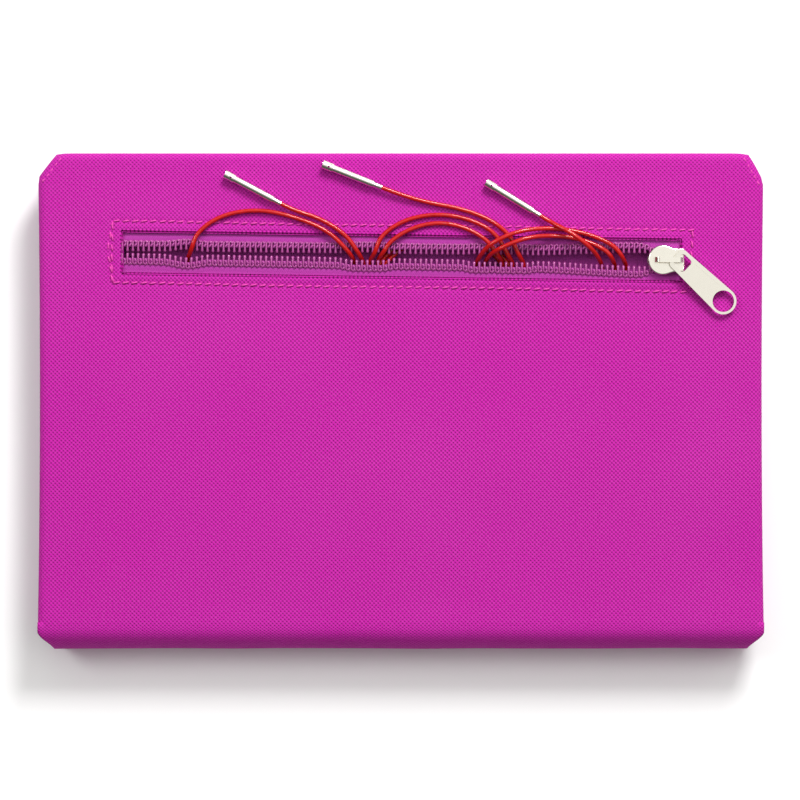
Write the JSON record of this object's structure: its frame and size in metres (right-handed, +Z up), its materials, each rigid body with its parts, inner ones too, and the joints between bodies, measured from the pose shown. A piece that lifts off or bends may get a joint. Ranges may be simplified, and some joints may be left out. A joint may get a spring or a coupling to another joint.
{
  "type": "interchangeable needle set",
  "caption": "Folding fabric case of interchangeable knitting needles: zip pocket with three coiled cords, pairs of screwless tips in pockets inside, and a cord coupler.",
  "frame": {"origin": "under the middle of the closed case, on the surface its front cover lies on", "axes": "+X along the case's length and the zip, +Y from the spine to the opening edge, +Z up out of the back cover"},
  "size_m": [0.24, 0.1644, 0.0273],
  "materials": {
    "canvas": "woven",
    "lining": "woven",
    "pocket_cloth": "woven",
    "board": "matte",
    "padding": "matte foam",
    "zip_tape": "woven",
    "zip_teeth": "satin",
    "elastic": "woven",
    "nickel": "polished",
    "polished_nickel": "polished",
    "cord": "translucent"
  },
  "bodies": {
    "front_half": {"front_panel": "canvas", "front_board": "board", "front_lining": "lining", "tip_pockets": "pocket_cloth", "closure_patches_front": "lining", "snap_sockets": "nickel", "spine_fold": "canvas"},
    "back_half": {"back_panel": "canvas", "back_lining": "lining", "back_board": "board", "back_padding": "padding", "pocket_back_sheet": "lining", "pocket_gussets": "lining", "pocket_front_sheet": "lining", "zip_tape_upper": "zip_tape", "zip_tape_lower": "zip_tape", "zip_teeth_upper": "zip_teeth", "zip_teeth_lower": "zip_teeth", "snap_studs": "nickel", "closure_patches_back": "lining", "coupler_loop": "elastic", "cord_1_outer_end": "nickel", "cord_1_lead": "cord", "cord_1_loops": "cord", "cord_1_coil": "cord", "cord_1_inner_end": "nickel", "cord_2_outer_end": "nickel", "cord_2_lead": "cord", "cord_2_loops": "cord", "cord_2_coil": "cord", "cord_2_inner_end": "nickel", "cord_3_outer_end": "nickel", "cord_3_lead": "cord", "cord_3_loops": "cord", "cord_3_coil": "cord", "cord_3_inner_end": "nickel"},
    "slider": {"slider_body": "nickel", "slider_bail": "nickel"},
    "puller": {"puller": "nickel"},
    "coupler": {"cord_coupler": "nickel"},
    "tips_3_5mm": {"tip_pair_3_5mm": "polished_nickel"},
    "tips_4_0mm": {"tip_pair_4_0mm": "polished_nickel"},
    "tips_4_5mm": {"tip_pair_4_5mm": "polished_nickel"},
    "tips_5_0mm": {"tip_pair_5_0mm": "polished_nickel"},
    "tips_5_5mm": {"tip_pair_5_5mm": "polished_nickel"},
    "tips_6_0mm": {"tip_pair_6_0mm": "polished_nickel"},
    "tips_7_0mm": {"tip_pair_7_0mm": "polished_nickel"},
    "tips_8_0mm": {"tip_pair_8_0mm": "polished_nickel"}
  },
  "joints": [
    {"name": "case_fold", "type": "hinge", "parent": "front_half", "child": "back_half", "pos_m": [0, -0.07425, 0.011], "axis": [1, 0, 0], "range_deg": [0, 170], "deforming": ["spine_fold"]},
    {"name": "slider_travel", "type": "slide", "parent": "back_half", "child": "slider", "axis": [-0.9999, 0.0148, 0], "range_m": [0, 0.0045]},
    {"name": "puller_flip", "type": "hinge", "parent": "slider", "child": "puller", "pos_m": [0.08969, 0.04677, 0.0249], "axis": [-0.0148, -0.9999, 0], "range_deg": [0, 135]},
    {"name": "coupler_slide", "type": "slide", "parent": "back_half", "child": "coupler", "axis": [1, 0, 0], "range_m": [0, 0.025]},
    {"name": "tips_3_5mm_draw", "type": "slide", "parent": "front_half", "child": "tips_3_5mm", "axis": [0, 1, 0], "range_m": [0, 0.12]},
    {"name": "tips_4_0mm_draw", "type": "slide", "parent": "front_half", "child": "tips_4_0mm", "axis": [0, 1, 0], "range_m": [0, 0.12]},
    {"name": "tips_4_5mm_draw", "type": "slide", "parent": "front_half", "child": "tips_4_5mm", "axis": [0, 1, 0], "range_m": [0, 0.12]},
    {"name": "tips_5_0mm_draw", "type": "slide", "parent": "front_half", "child": "tips_5_0mm", "axis": [0, 1, 0], "range_m": [0, 0.12]},
    {"name": "tips_5_5mm_draw", "type": "slide", "parent": "front_half", "child": "tips_5_5mm", "axis": [0, 1, 0], "range_m": [0, 0.12]},
    {"name": "tips_6_0mm_draw", "type": "slide", "parent": "front_half", "child": "tips_6_0mm", "axis": [0, 1, 0], "range_m": [0, 0.12]},
    {"name": "tips_7_0mm_draw", "type": "slide", "parent": "front_half", "child": "tips_7_0mm", "axis": [0, 1, 0], "range_m": [0, 0.12]},
    {"name": "tips_8_0mm_draw", "type": "slide", "parent": "front_half", "child": "tips_8_0mm", "axis": [0, 1, 0], "range_m": [0, 0.12]}
  ]
}
